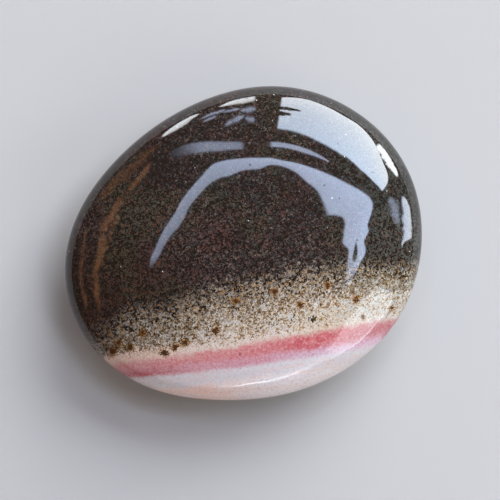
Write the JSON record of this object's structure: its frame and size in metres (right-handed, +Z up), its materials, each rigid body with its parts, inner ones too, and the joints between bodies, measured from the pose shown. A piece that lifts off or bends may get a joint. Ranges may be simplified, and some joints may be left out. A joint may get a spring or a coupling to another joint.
{
  "type": "polished sardonyx palm stone",
  "caption": "Smooth oval palm stone of polished sardonyx, low dome above and a belly ground flat below, dark speckled stone running into rose and white layers.",
  "frame": {"origin": "under the middle of the stone's outline, on the surface that it rests on", "axes": "+Z up, out of the domed top; +X along the stone's length, towards the end that is at the right and top in the picture; the rose and white layers lie towards -Y"},
  "size_m": [0.064, 0.0538, 0.0178],
  "materials": {
    "polished_sardonyx": "high polish, dark brown speckled stone fading through cream into a rose layer and a white layer"
  },
  "bodies": {
    "root": {"palm_stone": "polished_sardonyx"}
  },
  "joints": []
}
